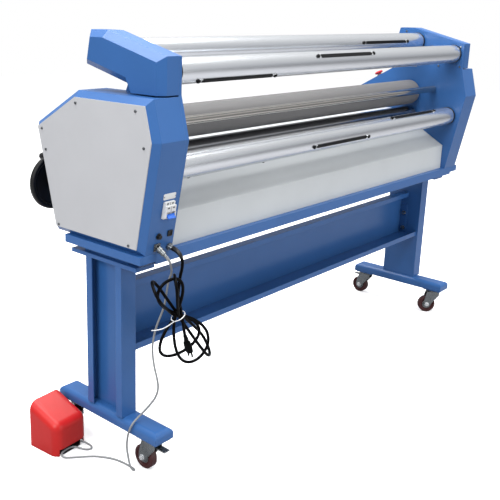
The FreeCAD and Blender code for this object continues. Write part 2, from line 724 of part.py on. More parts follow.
def make_chain():
    """The roller chain as one closed loop round the two equal sprockets."""
    start = V(0, number("motor_y"), number("motor_z"))
    end = V(0, number("nip_y"), number("bottom_axis"))
    line = end.sub(start)
    tilt = math.degrees(math.atan2(line.z, line.y))
    layers = []
    inner = number("sprocket_radius + chain_gap")
    outer = inner + number("chain_depth")
    for name, reach, low, high in (("outer", outer, -892.5, -883.5), ("inner", inner, -893.5, -882.5)):
        ends = [rod("chain_%s_%d" % (name, i), "x", reach, low, high, spot.y, spot.z)
                for i, spot in enumerate((start, end))]
        middle = doc.addObject("Part::Box", "chain_%s_middle" % name)
        middle.Length = high - low
        middle.Width = line.Length
        middle.Height = 2 * reach
        facing = FreeCAD.Rotation(V(1, 0, 0), tilt)
        corner = start.add(facing.multVec(V(0, 0, -reach)))
        middle.Placement = FreeCAD.Placement(V(low, corner.y, corner.z), facing)
        layers.append(fuse("chain_" + name, middle, *ends))
    return node(cut("drive_chain", *layers), "drive_chain")


def make_controller():
    return node(box("controller_box", ("-frame_in - frame_thick - 48", "-frame_in - frame_thick"),
                    ("102", "200"), ("884", "990")), "controller_box")


# ---------------------------------------------------------------- fittings on the cabinets

def make_breaker():
    """A two-pole circuit breaker: its moulded body and the lever that joins both poles."""
    place = on_rear(-897, 812)
    base = box("breaker_base", ("-19", "19"), ("-8", "0"), ("-24", "24"))
    band = box("breaker_band", ("-19", "19"), ("-14", "-7"), ("-2", "15"))
    cheeks = [box("breaker_cheek_%d" % i, x, ("-16", "-7"), ("-19", "-3"))
              for i, x in enumerate((("-19", "-16"), ("16", "19")))]
    sockets = rod("breaker_pin_hole", "x", "1.55", "-18", "18", "-12.5", "-12")
    body = cut("breaker_body", fuse("breaker_mould", base, band, *cheeks), sockets)
    body.Placement = place
    node(body, "breaker_body")
    hub = rod("lever_hub", "x", "3.2", "-15.5", "15.5", "-12.5", "-12")
    pin = rod("lever_pin", "x", "1.5", "-17.8", "17.8", "-12.5", "-12")
    facing = FreeCAD.Rotation(V(1, 0, 0), 180 + 35)
    corner = V(-13.5, -12.5, -12).add(facing.multVec(V(0, 0, -2)))
    paddle = block_at("lever_paddle", "27", "12", "4", FreeCAD.Placement(corner, facing))
    lever = fuse("breaker_lever", hub, pin, paddle)
    lever.Placement = place
    node(lever, "breaker_lever")


def make_rear_sockets():
    """A round fuse holder and a small square outlet on the left cabinet's rear."""
    flange = rod("fuse_flange", "y", "9", "-3", "0", "0", "0")
    cap = rod("fuse_cap", "y", "6.5", "-9", "-2", "0", "0")
    fuse_holder = fuse("fuse_holder", flange, cap)
    fuse_holder.Placement = on_rear(-916, 736)
    plate = box("outlet_plate", ("-8.5", "8.5"), ("-3.5", "0"), ("-8.5", "8.5"))
    recess = box("outlet_recess", ("-5.5", "5.5"), ("-4", "-1.5"), ("-5.5", "5.5"))
    outlet = cut("outlet", plate, recess)
    outlet.Placement = on_rear(-873, 738)
    return node(group("rear_sockets", fuse_holder, outlet), "rear_sockets")


def along(start, end):
    """A placement at start whose local +Z points at end."""
    return FreeCAD.Placement(start, FreeCAD.Rotation(V(0, 0, 1), end.sub(start)))


PLUG_ROOT = V(-917, -194.5, 704)
PLUG_TIP = V(-909, -222, 681)


def make_pedal_connector():
    """The round metal connector of the pedal's cable, on its flange."""
    flange = box("connector_flange", ("-11", "11"), ("-3", "0"), ("-11", "11"))
    flange.Placement = FreeCAD.Placement(V(), FreeCAD.Rotation())
    foot = fuse("connector_foot", flange, rod("connector_seat", "y", "9", "-6", "-1", "0", "0"))
    foot.Placement = on_rear(-917, 704)
    reach = PLUG_TIP.sub(PLUG_ROOT).Length
    nut = rod("connector_nut", "z", "9.5", "4", "15", "0", "0")
    barrel = rod("connector_barrel", "z", "8", "13", str(reach - 9), "0", "0")
    tail = rod("connector_tail", "z", "5", str(reach - 10), str(reach), "0", "0")
    plug = fuse("connector_plug", nut, barrel, tail)
    plug.Placement = along(PLUG_ROOT, PLUG_TIP)
    return node(fuse("pedal_connector", foot, plug), "pedal_connector")


GLAND = on_rear(-868, 697)


def make_gland():
    """The metal cable gland of the mains cord."""
    nut = doc.addObject("Part::Prism", "gland_nut")
    nut.Polygon = 6
    nut.Circumradius = 11
    nut.Height = 6
    nut.Placement = FreeCAD.Placement(V(), FreeCAD.Rotation(V(1, 0, 0), 90))
    dome = doc.addObject("Part::Cone", "gland_dome")
    dome.Radius1 = 9
    dome.Radius2 = 6
    dome.Height = 12
    dome.Placement = FreeCAD.Placement(V(0, -5, 0), FreeCAD.Rotation(V(1, 0, 0), 90))
    gland = fuse("cable_gland", nut, dome)
    gland.Placement = GLAND
    return node(gland, "cable_gland")


def make_estop():
    """The emergency stop on the right cabinet's slope: a fixed collar and the mushroom button."""
    place = on_slope(905, 185)
    ring = rod("collar_ring", "z", "15", "0", "6", "0", "0")
    neck = rod("collar_neck", "z", "11", "5", "12", "0", "0")
    bore = rod("collar_bore", "z", "8.05", "1.5", "13", "0", "0")
    collar = cut("estop_collar", fuse("collar_body", ring, neck), bore)
    collar.Placement = place
    node(collar, "estop_collar")
    stem = rod("estop_stem", "z", "8", "6", "18", "0", "0")
    head = rod("estop_head", "z", "18", "17", "27", "0", "0")
    button = fuse("estop_button", stem, head)
    button.Placement = place
    node(button, "estop_button")


def make_operator_knobs():
    """The speed knob and the forward, stop and reverse selector on the left cabinet's slope."""
    for name, y in KNOBS.items():
        radius = "13" if name == "speed_knob" else "11"
        dial = rod(name + "_dial", "z", radius, "0.5", "13", "0", "0")
        ridge = box(name + "_ridge", ("-2.5", "2.5"), ("-" + radius + " + 1", radius + " + 3"), ("4", "17"))
        spindle = rod(name + "_spindle", "z", "3", "-12", "1", "0", "0")
        knob = fuse(name, dial, ridge, spindle)
        knob.Placement = on_slope(-905, y)
        node(knob, name)


# ---------------------------------------------------------------- casters

# name, x side, y side, direction the wheel trails in degrees from +X, side of the brake tab or none
CASTERS = (("left_rear", LEFT, -1, 90, -1), ("left_front", LEFT, 1, 60, 1),
           ("right_front", RIGHT, 1, 90, 1), ("right_rear", RIGHT, -1, 130, 0))


def make_caster(name, x_side, y_side, heading, tab_side):
    """A swivel fork, its wheel and, on most, a brake lever; built trailing along +X, then placed."""
    tag = "caster_" + name
    top = "plate_low"
    cheeks = []
    for i, (low, high) in enumerate((("wheel_half + 1.5", "wheel_half + 4"),
                                     ("-wheel_half - 4", "-wheel_half - 1.5"))):
        body = new_body("%s_cheek_%d" % (tag, i))
        sketch = new_sketch(body, "XZ_Plane", "-(%s)" % high)
        polygon(sketch, [("-22", top + " - 8"), ("-22", top + " - 24"), ("trail - 16", "wheel_radius"),
                         ("trail - 10", "wheel_radius - 12"), ("trail + 9", "wheel_radius - 12"),
                         ("trail + 15", "wheel_radius - 4"), ("trail + 14", "wheel_radius + 16"),
                         ("32", top + " - 8")])
        pad(body, sketch, "(%s) - (%s)" % (high, low))
        cheeks.append(body)
    crown = box(tag + "_crown", ("-22", "32"), ("-wheel_half - 4", "wheel_half + 4"),
                (top + " - 11", top + " - 8"))
    race = rod(tag + "_race", "z", "24", top + " - 8.5", top + " - 0.4", "0", "0")
    axle = rod(tag + "_axle", "y", "wheel_bore", "-wheel_half - 6", "wheel_half + 6", "trail",
               "wheel_radius")
    pin = rod(tag + "_kingpin", "z", "kingpin", top + " - 10", "foot_low - 0.4", "0", "0")
    pieces = [crown, race, axle, pin] + cheeks
    pivot_x = "20" if tab_side > 0 else "-8"
    if tab_side:
        pieces.append(rod(tag + "_brake_pin", "y", "2", "-wheel_half - 3", "wheel_half + 3", pivot_x,
                          "brake_z"))
    fork = fuse(tag + "_fork", *pieces)
    spot = V(x_side * number("caster_x"), y_side * number("caster_y"), 0)
    place = FreeCAD.Placement(spot, FreeCAD.Rotation(V(0, 0, 1), heading))
    fork.Placement = place
    node(fork, tag + "_fork")

    wheel_body = new_body(tag + "_wheel")
    sketch = new_sketch(wheel_body, "XY_Plane")
    bore, rim, half = "wheel_bore + fit", "wheel_radius", "wheel_half"
    polygon(sketch, [
        (bore, "-" + half + " - 0.5"), ("12", "-" + half + " - 0.5"), ("14", "-" + half + " + 3"),
        (rim + " - 11", "-" + half + " + 3"), (rim + " - 9", "-" + half), (rim + " - 2.5", "-" + half),
        (rim, "-" + half + " + 2.5"), (rim, half + " - 2.5"), (rim + " - 2.5", half),
        (rim + " - 9", half), (rim + " - 11", half + " - 3"), ("14", half + " - 3"),
        ("12", half + " + 0.5"), (bore, half + " + 0.5")])
    revolve(wheel_body, sketch, "V_Axis")
    hub = place.multVec(V(number("trail"), 0, number("wheel_radius")))
    wheel_body.Placement = FreeCAD.Placement(hub, FreeCAD.Rotation(V(0, 0, 1), heading))
    node(wheel_body, tag + "_wheel")

    if tab_side == 0:
        return
    reach = ("20", "62") if tab_side > 0 else ("-58", "-8")
    arm = box(tag + "_brake_arm", reach, ("-11", "11"), ("brake_z - 2", "brake_z + 1.5"))
    sleeve = rod(tag + "_brake_sleeve", "y", "4", "-wheel_half - 1.1", "wheel_half + 1.1", pivot_x,
                 "brake_z")
    bore = rod(tag + "_brake_bore", "y", "2 + fit", "-wheel_half - 4", "wheel_half + 4", pivot_x,
               "brake_z")
    lever = cut(tag + "_brake", fuse(tag + "_brake_body", arm, sleeve), bore)
    lever.Placement = place
    node(lever, tag + "_brake")


# ---------------------------------------------------------------- pedal

PEDAL = FreeCAD.Placement(V(-944, 85.6, 0), FreeCAD.Rotation(V(0, 0, 1), 5))


def make_pedal_base():
    """The black base plate with two lugs and hinge pins for the treadle."""
    plate = new_body("pedal_plate")
    sketch = new_sketch(plate, "XY_Plane")
    polygon(sketch, [("30 - pedal_width", "4"), ("-30", "4"), ("-4", "30"), ("-4", "pedal_depth - 2"),
                     ("4 - pedal_width", "pedal_depth - 2"), ("4 - pedal_width", "30")])
    pad(plate, sketch, "6")
    lugs = [box("pedal_lug_%d" % i, x, ("hinge_y - 7", "hinge_y + 7"), ("5", "hinge_z + 7"))
            for i, x in enumerate((("5 - pedal_width", "11 - pedal_width"), ("-11", "-5")))]
    pins = [rod("pedal_pin_%d" % i, "x", "3", low, high, "hinge_y", "hinge_z")
            for i, (low, high) in enumerate((("8 - pedal_width", "22 - pedal_width"), ("-22", "-8")))]
    base = fuse("pedal_base", plate, *(lugs + pins))
    base.Placement = PEDAL
    return node(base, "pedal_base")


def make_pedal_treadle():
    """The foot plate that turns on the hinge pins."""
    low, high = "12 - pedal_width", "-12"
    barrel = rod("treadle_barrel", "x", "6.5", low, high, "hinge_y", "hinge_z")
    corner = V(number(low), number("hinge_y"), number("hinge_z"))
    plate = block_at("treadle_plate", "pedal_width - 24", "pedal_depth - hinge_y - 5", "5",
                     FreeCAD.Placement(corner, FreeCAD.Rotation(V(1, 0, 0), 6)))
    bores = [rod("treadle_bore_%d" % i, "x", "3 + fit", a, b, "hinge_y", "hinge_z")
             for i, (a, b) in enumerate((("11 - pedal_width", "23 - pedal_width"), ("-23", "-11")))]
    treadle = cut("pedal_treadle", fuse("treadle_solid", barrel, plate), *bores)
    treadle.Placement = PEDAL
    return node(treadle, "pedal_treadle")


def hood_shape(name, inset, overrun):
    """The hood's outline pulled in by inset, with its top and rear edges rounded."""
    front = "pedal_depth + %s" % overrun
    body = prism_x(name, [(inset, "-" + overrun), (front, "-" + overrun),
                          (front, "pedal_front_top - %s * 1.07 + %s * 0.38" % (inset, overrun)),
                          (inset, "pedal_rear_top - %s * 0.69" % inset)],
                   "%s - pedal_width" % inset, "pedal_width - 2 * " + inset)
    doc.recompute()
    side_planes = number("%s - pedal_width" % inset), -number(inset)
    rear = number(inset)

    def rounded(edge):
        ends = [v.Point for v in edge.Vertexes]
        upright = abs(ends[0].z - ends[1].z) > 60
        top = all(p.z > 90 for p in ends)
        at_side = any(all(abs(p.x - x) < 0.1 for p in ends) for x in side_planes)
        at_rear = all(abs(p.y - rear) < 0.1 for p in ends)
        return (top and (at_side or at_rear)) or (upright and at_rear)

    picked = ["Edge%d" % (i + 1) for i, edge in enumerate(body.Shape.Edges) if rounded(edge)]
    dress(body, "Fillet", picked, Radius="pedal_round - " + inset)
    return body


def make_pedal_guard():
    """The red hood over the treadle: open in front and below, with a slot at the rear for the cable."""
    outer = hood_shape("hood_outer", "0", "0")
    inner = hood_shape("hood_inner", "pedal_wall", "5")
    slot = box("pedal_slot", ("14 - pedal_width", "1"), ("-5", "14"), ("-1", "22"))
    hood = cut("pedal_guard", outer, inner, slot)
    hood.Placement = PEDAL
    return node(hood, "pedal_guard")


# ---------------------------------------------------------------- cords

def cord_edges(points):
    """Straight runs between the points, joined by tangent arcs, and each arc's radius."""
    radii = []
    edges = []
    last = points[0]
    for i in range(1, len(points) - 1):
        before = points[i].sub(points[i - 1])
        after = points[i + 1].sub(points[i])
        half_turn = before.getAngle(after) / 2
        cut_back = 0.45 * min(before.Length, after.Length)
        radii.append(cut_back / math.tan(half_turn))
        before.normalize()
        after.normalize()
        start = points[i].sub(before * cut_back)
        end = points[i].add(after * cut_back)
        bisector = after.sub(before)
        bisector.normalize()
        centre = points[i].add(bisector * (radii[-1] / math.cos(half_turn)))
        middle = centre.sub(bisector * radii[-1])
        edges.append(Part.LineSegment(last, start).toShape())
        edges.append(Part.Arc(start, middle, end).toShape())
        last = end
    edges.append(Part.LineSegment(last, points[-1]).toShape())
    return edges, radii


def make_cord(name, points, radius):
    """A round cord swept along its route, checked against its section times its length."""
    edges, radii = cord_edges(points)
    path = Part.Wire(edges)
    start = Part.Wire(Part.makeCircle(radius, points[0], points[1].sub(points[0])))
    solid = path.makePipeShell([start], True, False)
    item = doc.addObject("Part::Feature", name)
    item.Shape = solid
    expected = math.pi * radius ** 2 * path.Length
    print(name, "length %.0f" % path.Length, "volume ratio %.4f" % (solid.Volume / expected),
          "radii", " ".join("%.0f" % r for r in radii))
    return node(item, name)


# out of the connector, down behind the hank, over the foot, to a fold on the floor, then along
# the floor to the pedal, in at the left of its slot, out in a small loop at the right and in again
PEDAL_ROUTE = [
    PLUG_TIP, PLUG_TIP.add(PLUG_TIP.sub(PLUG_ROOT).normalize() * 12), V(-897, -228, 655),
    V(-883, -219, 630), V(-882, -205, 602), V(-884, -199, 562), V(-885, -192, 521), V(-888, -179, 487),
    V(-892, -167, 454), V(-896, -159, 412), V(-898, -158, 376), V(-900, -169, 331), V(-900, -181, 301),
    V(-900, -187, 272), V(-901, -179, 243), V(-904, -162, 215), V(-912, -141, 185), V(-927, -129, 164),
    V(-942, -128, 156), V(-953, -125, 142), V(-957, -118, 118), V(-957, -113, 90), V(-957, -112, 66),
    V(-958, -119, 44), V(-961, -129, 23), V(-960, -134, 12), V(-956, -138, 5), V(-951, -139, 3.2),
    V(-947.5, -133, 3.1), V(-947, -120, 3.1), V(-947, -98, 3.2), V(-950, -68, 3.1), V(-961, -36, 3.2),
    V(-982, -2, 3.1), V(-1008, 21, 3.2), V(-1034, 41, 3.1), V(-1051, 54, 3.3), V(-1060, 62, 5),
    V(-1060, 71, 8), V(-1052, 79, 10), V(-1034, 84, 10.5), V(-1014, 85, 10.3), V(-1000, 79, 8.5),
    V(-991, 67, 4.6), V(-984, 53, 3.2), V(-974, 43, 3.2), V(-962, 43, 3.2), V(-956, 54, 3.3),
    V(-957, 68, 4.6), V(-962, 80, 8.3), V(-970, 90, 10.5),
]
MAINS_ROUTE = [
    V(-868, -236.3, 680.8), V(-867, -244, 664), V(-868, -243, 643), V(-868, -238, 624),
    V(-868, -238, 606),
]


def make_cords():
    make_cord("pedal_cable", PEDAL_ROUTE, number("signal_radius"))
    out = GLAND.Rotation.multVec(V(0, -1, 0))
    exit_point = GLAND.Base.add(out * 17)
    make_cord("mains_cord", [exit_point, exit_point.add(out * 16)] + MAINS_ROUTE, number("mains_radius"))


def make_hank():
    """The outer shape of the tied mains cord: upper loops, a waist at the tie, and lower loops.

    Its highest loops lean out, in front of the pedal's cable.
    """
    main = new_body("hank_main")
    sketch = new_sketch(main, "XZ_Plane", "hank_back")
    polygon(sketch, [(str(x), str(z)) for x, z in (
        (-988, 616), (-974, 636), (-948, 636), (-928, 606), (-852, 606), (-846, 560), (-858, 516),
        (-776, 458), (-754, 424), (-722, 356), (-744, 326), (-776, 310), (-824, 320), (-872, 358),
        (-928, 378), (-954, 408), (-948, 448), (-902, 500))])
    pad(main, sketch, "hank_front - hank_back")
    upper = new_body("hank_upper")
    sketch = new_sketch(upper, "XZ_Plane", "hank_step")
    polygon(sketch, [(str(x), str(z)) for x, z in (
        (-962, 600), (-962, 634), (-936, 646), (-896, 650), (-880, 640), (-880, 600))])
    pad(upper, sketch, "hank_front - hank_step")
    return node(fuse("mains_hank", main, upper), "mains_hank")


def make_plug():
    """The moulded mains plug that hangs beside the lower loops."""
    shell = box("plug_shell", ("-14", "14"), ("-9", "9"), ("0", "38"))
    pins = [box("plug_pin_%d" % i, (str(x), str(x + 2)), ("-3", "3"), ("37", "56"))
            for i, x in enumerate((-8, 6))]
    relief = rod("plug_relief", "z", "6", "-22", "1", "0", "0")
    plug = fuse("mains_plug", shell, relief, *pins)
    plug.Placement = along(V(-868, -265, 434), V(-854, -265, 394))
    return node(plug, "mains_plug")


# ---------------------------------------------------------------- the whole machine

def build():
    for side in (LEFT, RIGHT):
        make_leg(side)
        make_foot(side)
        make_side_frame(side)
        make_shell(side)
        make_end_panel(side)
        make_arm(side)
    make_stretcher()
    make_stretcher_bolts()
    make_base_frame()
    make_cover_screws()
    make_rear_apron()
    make_front_table()
    make_top_roller()
    make_bottom_roller()
    make_guide_rod()
    make_media_shaft("upper_front_shaft", "up_front_y", "up_front_z")
    make_media_shaft("upper_rear_shaft", "up_rear_y", "up_rear_z")
    make_media_shaft("lower_rear_shaft", "low_rear_y", "low_rear_z")
    make_lift_blocks()
    make_lift_shaft()
    make_handwheel()
    make_bottom_bearings()
    make_gearmotor()
    make_motor_sprocket()
    make_chain()
    make_controller()
    make_breaker()
    make_rear_sockets()
    make_pedal_connector()
    make_gland()
    make_estop()
    make_operator_knobs()
    for caster in CASTERS:
        make_caster(*caster)
    make_pedal_base()
    make_pedal_guard()
    make_pedal_treadle()
    make_cords()
    make_hank()
    make_plug()


def check_and_export():
    doc.recompute()
    for item in doc.Objects:
        if "Invalid" in item.State or "Error" in item.State:
            raise RuntimeError("%s failed: %s" % (item.Label, item.State))
    os.makedirs("parts", exist_ok=True)
    for item in nodes:
        if item.Shape.isNull() or not item.Shape.isValid():
            raise RuntimeError("%s has no valid shape" % item.Label)
        item.Shape.exportStep("parts/%s.step" % item.Label)
    print(len(nodes), "nodes written")


build()
check_and_export()
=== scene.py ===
"""Looks of the cold roll laminator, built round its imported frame.

The scene is in metres. Places, cord routes and what mm() is given are in millimetres, as in the
part's own source; sizes of blocks and profiles are in metres.
"""
import json
import math

import bpy
from mathutils import Matrix, Vector


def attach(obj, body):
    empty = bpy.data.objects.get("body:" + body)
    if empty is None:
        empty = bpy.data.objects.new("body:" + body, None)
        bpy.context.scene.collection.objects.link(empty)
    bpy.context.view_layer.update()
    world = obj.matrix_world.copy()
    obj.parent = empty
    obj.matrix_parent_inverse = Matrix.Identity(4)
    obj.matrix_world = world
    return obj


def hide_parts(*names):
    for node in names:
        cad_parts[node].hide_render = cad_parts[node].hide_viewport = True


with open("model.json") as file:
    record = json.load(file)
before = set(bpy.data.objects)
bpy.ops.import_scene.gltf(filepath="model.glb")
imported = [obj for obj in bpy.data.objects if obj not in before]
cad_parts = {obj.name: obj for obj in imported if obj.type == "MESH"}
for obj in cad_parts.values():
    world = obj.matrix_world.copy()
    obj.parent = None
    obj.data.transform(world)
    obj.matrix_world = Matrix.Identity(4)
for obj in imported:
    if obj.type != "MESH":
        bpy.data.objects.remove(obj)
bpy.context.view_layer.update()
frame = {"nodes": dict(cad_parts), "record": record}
NODES = frame["nodes"]
MM = 0.001


def mm(x, y, z):
    return Vector((x * MM, y * MM, z * MM))


# ---------------------------------------------------------------- camera

CAMERA_SPOT = mm(-2330.3, -1615.2, 1325.3)
YAW, PITCH, ROLL = (math.radians(a) for a in (43.35, 15.04, 0.894))
FOCAL = 55.19
SENSOR_WIDTH = 36
SHIFT = (0.1386, -0.063)


def make_camera():
    data = bpy.data.cameras.new("view_camera")
    data.sensor_width = SENSOR_WIDTH
    data.lens = FOCAL
    data.shift_x, data.shift_y = SHIFT
    data.clip_start, data.clip_end = 0.05, 60
    camera = bpy.data.objects.new("view_camera", data)
    ahead = Vector((math.cos(YAW) * math.cos(PITCH), math.sin(YAW) * math.cos(PITCH),
                    -math.sin(PITCH)))
    level = Vector((math.sin(YAW), -math.cos(YAW), 0))
    upright = level.cross(ahead)
    right = level * math.cos(ROLL) + upright * math.sin(ROLL)
    up = upright * math.cos(ROLL) - level * math.sin(ROLL)
    turn = Matrix((right, up, -ahead)).transposed().to_4x4()
    camera.matrix_world = Matrix.Translation(CAMERA_SPOT) @ turn
    bpy.context.scene.collection.objects.link(camera)
    bpy.context.scene.camera = camera


# ---------------------------------------------------------------- materials

NOISE_DETAIL = 4
RAMP_ENDS = (0.3, 0.7)
BEVEL_SAMPLES = 4
COAT_ROUGHNESS = 0.25


def srgb(r, g, b):
    def linear(c):
        c /= 255
        return c / 12.92 if c <= 0.04045 else ((c + 0.055) / 1.055) ** 2.4
    return linear(r), linear(g), linear(b), 1


class Nodes:
    """A short way to write a material's nodes."""

    def __init__(self, name):
        self.material = bpy.data.materials.new(name)
        self.material.use_nodes = True
        self.tree = self.material.node_tree
        self.shader = self.tree.nodes["Principled BSDF"]
        self.place = self.new("ShaderNodeTexCoord").outputs["Object"]

    def new(self, kind, **settings):
        node = self.tree.nodes.new(kind)
        for key, value in settings.items():
            setattr(node, key, value)
        return node

    def link(self, a, b):
        self.tree.links.new(a, b)

    def noise(self, scale, stretch):
        mapping = self.new("ShaderNodeMapping")
        mapping.inputs["Scale"].default_value = stretch
        self.link(self.place, mapping.inputs["Vector"])
        noise = self.new("ShaderNodeTexNoise")
        noise.inputs["Scale"].default_value = scale
        noise.inputs["Detail"].default_value = NOISE_DETAIL
        self.link(mapping.outputs["Vector"], noise.inputs["Vector"])
        return noise.outputs["Fac"]

    def ramp(self, source, low, high):
        ramp = self.new("ShaderNodeValToRGB")
        for stop, position, colour in zip(ramp.color_ramp.elements, RAMP_ENDS, (low, high)):
            stop.position = position
            stop.color = colour
        self.link(source, ramp.inputs["Fac"])
        return ramp.outputs["Color"]

    def span(self, source, low, high):
        spread = self.new("ShaderNodeMapRange")
        spread.inputs["To Min"].default_value = low
        spread.inputs["To Max"].default_value = high
        self.link(source, spread.inputs["Value"])
        return spread.outputs["Result"]

    def soften(self, radius, height, strength, distance):
        """Rounded edges, with a fine bump on top."""
        bevel = self.new("ShaderNodeBevel", samples=BEVEL_SAMPLES)
        bevel.inputs["Radius"].default_value = radius
        bump = self.new("ShaderNodeBump")
        bump.inputs["Strength"].default_value = strength
        bump.inputs["Distance"].default_value = distance
        self.link(height, bump.inputs["Height"])
        self.link(bevel.outputs["Normal"], bump.inputs["Normal"])
        self.link(bump.outputs["Normal"], self.shader.inputs["Normal"])


def surface(name, colour, rough=0.4, metallic=0.0, vary=0.08, grain=90, bump=0.08, edge=0.0012,
            stretch=(1, 1, 1), coat=0.0, depth=0.0004, mottle=7, shine=0.5):
    """A surface with slight colour drift, uneven gloss and a fine texture."""
    n = Nodes(name)
    shade = tuple(c * (1 - vary) for c in colour[:3]) + (1,)
    light = tuple(min(1, c * (1 + vary * 0.6)) for c in colour[:3]) + (1,)
    n.link(n.ramp(n.noise(mottle, stretch), shade, light), n.shader.inputs["Base Color"])
    fine = n.noise(grain, stretch)
    n.link(n.span(fine, rough * 0.85, min(1, rough * 1.2)), n.shader.inputs["Roughness"])
    n.shader.inputs["Metallic"].default_value = metallic
    n.shader.inputs["Coat Weight"].default_value = coat
    n.shader.inputs["Coat Roughness"].default_value = COAT_ROUGHNESS
    n.shader.inputs["Specular IOR Level"].default_value = shine
    n.soften(edge, fine, bump, depth)
    return n.material


BLUE = surface("blue_powder_coat", srgb(44, 89, 146), 0.46, vary=0.05, grain=900, bump=0.12,
               edge=0.0022, depth=0.0002, shine=0.2, coat=0.45)
PANEL_GREY = surface("grey_enamel", srgb(170, 171, 174), 0.5, vary=0.03, grain=700, bump=0.08,
                     edge=0.001)
SHEET_GREY = surface("light_grey_sheet", srgb(184, 188, 190), 0.48, vary=0.03, grain=700,
                     bump=0.08, edge=0.002, shine=0.4)
SILICONE = surface("grey_silicone", srgb(104, 103, 103), 0.5, vary=0.06, grain=260, bump=0.06,
                   edge=0.002, stretch=(0.1, 1, 1))
ROLLER_STEEL = surface("ground_steel", srgb(150, 152, 156), 0.16, 1.0, vary=0.05, grain=200,
                       bump=0.03, stretch=(0.2, 1, 1))
ALLOY = surface("satin_aluminium", srgb(228, 231, 235), 0.24, 0.95, vary=0.03, grain=420,
                bump=0.04, edge=0.0015, stretch=(0.03, 1, 1), mottle=20)
CHROME = surface("polished_chrome", srgb(196, 192, 186), 0.1, 1.0, vary=0.03, grain=60, bump=0.02)
ZINC = surface("zinc_plate", srgb(126, 130, 132), 0.27, 0.95, vary=0.12, grain=160, bump=0.1,
               edge=0.001, mottle=45)
WHITE_METAL = surface("bright_steel", srgb(226, 228, 230), 0.26, 0.8, vary=0.04, grain=160,
                      bump=0.05, edge=0.0008)
# oiled steel for real parts, and also the colour of the painted shade on the breaker and in the
# screw sockets
DARK_STEEL_AND_SHADE = surface("oiled_steel_and_painted_shade", srgb(88, 88, 92), 0.42, 0.8, vary=0.15, grain=220, bump=0.1)
CASTING = surface("grey_casting", srgb(96, 99, 103), 0.62, 0.3, vary=0.12, grain=240, bump=0.3)
BLACK = surface("black_plastic", srgb(13, 13, 15), 0.38, vary=0.12, grain=420, bump=0.15,
                shine=0.35)
WHITE = surface("white_plastic", srgb(206, 207, 207), 0.45, vary=0.04, grain=320, bump=0.06,
                edge=0.0008)
LEVER_BLUE = surface("blue_lever", srgb(24, 92, 190), 0.35, vary=0.06, grain=200, bump=0.05,
                     edge=0.001)
STOP_RED = surface("stop_red", srgb(200, 14, 28), 0.28, vary=0.05, grain=120, bump=0.03, coat=0.3)
COLLAR = surface("stop_collar", srgb(92, 90, 88), 0.4, 0.3, vary=0.08, grain=200, bump=0.06)
PEDAL_RED = surface("pedal_red", srgb(180, 26, 24), 0.36, vary=0.06, grain=380, bump=0.1,
                    edge=0.003, coat=0.08, mottle=18, shine=0.3)
TYRE_RED = surface("caster_tyre", srgb(58, 12, 14), 0.5, vary=0.14, grain=240, bump=0.15)
CABLE_GREY = surface("grey_sheath", srgb(126, 128, 130), 0.36, vary=0.05, grain=500, bump=0.08)
CORD_BLACK = surface("black_sheath", srgb(5, 5, 6), 0.3, vary=0.1, grain=500, bump=0.1, shine=0.05)
GRIP_RUBBER = surface("grip_rubber", srgb(8, 9, 11), 0.5, vary=0.1, grain=500, bump=0.2,
                      shine=0.12)
BOARD_GREEN = surface("drive_unit", srgb(60, 96, 66), 0.5, vary=0.1, grain=100, bump=0.08)
TIE_WHITE = surface("tie_nylon", srgb(226, 228, 230), 0.35, vary=0.03, grain=200, bump=0.05)
TREADLE = surface("treadle_rubber", srgb(34, 34, 36), 0.62, vary=0.1, grain=150, bump=0.4)
FLOOR = surface("pale_floor", srgb(246, 246, 247), 0.8, vary=0.01, grain=40, bump=0.02)
FLOOR_GLOW = 0.36
GROUND_GREY = (0.34, 0.34, 0.35, 1)
PURE_WHITE = (1, 1, 1, 1)


def only_seen(tree, seen, otherwise, output):
    """Give camera rays the first shader and all other rays the second."""
    camera_ray = tree.nodes.new("ShaderNodeLightPath").outputs["Is Camera Ray"]
    mix = tree.nodes.new("ShaderNodeMixShader")
    tree.links.new(camera_ray, mix.inputs["Fac"])
    tree.links.new(otherwise.outputs[0], mix.inputs[1])
    tree.links.new(seen.outputs[0], mix.inputs[2])
    tree.links.new(mix.outputs[0], tree.nodes[output].inputs["Surface"])


def ground_the_light():
    """The floor looks pale, but it lights the object, and is mirrored, as mid-grey ground."""
    tree = FLOOR.node_tree
    pale = tree.nodes["Principled BSDF"]
    pale.inputs["Emission Color"].default_value = PURE_WHITE
    pale.inputs["Emission Strength"].default_value = FLOOR_GLOW
    grey = tree.nodes.new("ShaderNodeBsdfDiffuse")
    grey.inputs["Color"].default_value = GROUND_GREY
    only_seen(tree, pale, grey, "Material Output")


ground_the_light()

SLOT_LOOKS = {
    "blue_paint": BLUE, "grey_panel": PANEL_GREY, "grey_sheet": SHEET_GREY,
    "roller_rubber": SILICONE, "roller_steel": ROLLER_STEEL, "shaft_alloy": ALLOY,
    "rod_chrome": CHROME, "zinc_steel": ZINC, "dark_steel": DARK_STEEL_AND_SHADE, "cast_metal": CASTING,
    "black_plastic": BLACK, "white_plastic": WHITE, "lever_blue": LEVER_BLUE, "stop_red": STOP_RED,
    "stop_collar": COLLAR, "pedal_red": PEDAL_RED, "wheel_red": TYRE_RED, "cable_grey": CABLE_GREY,
    "cord_black": CORD_BLACK, "circuit_green": BOARD_GREEN,
}
NODE_LOOKS = {"pedal_treadle": TREADLE}


def dress_nodes():
    for part in frame["record"]["subparts"]:
        look = NODE_LOOKS.get(part["node"], SLOT_LOOKS[part["material_slot"]])
        mesh = NODES[part["node"]].data
        mesh.materials.clear()
        mesh.materials.append(look)


# ---------------------------------------------------------------- mesh helpers

SHARP_FROM = 35


def add_piece(name, data, look, body):
    piece = bpy.data.objects.new(name, data)
    bpy.context.scene.collection.objects.link(piece)
    data.materials.append(look)
    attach(piece, body)
    return piece


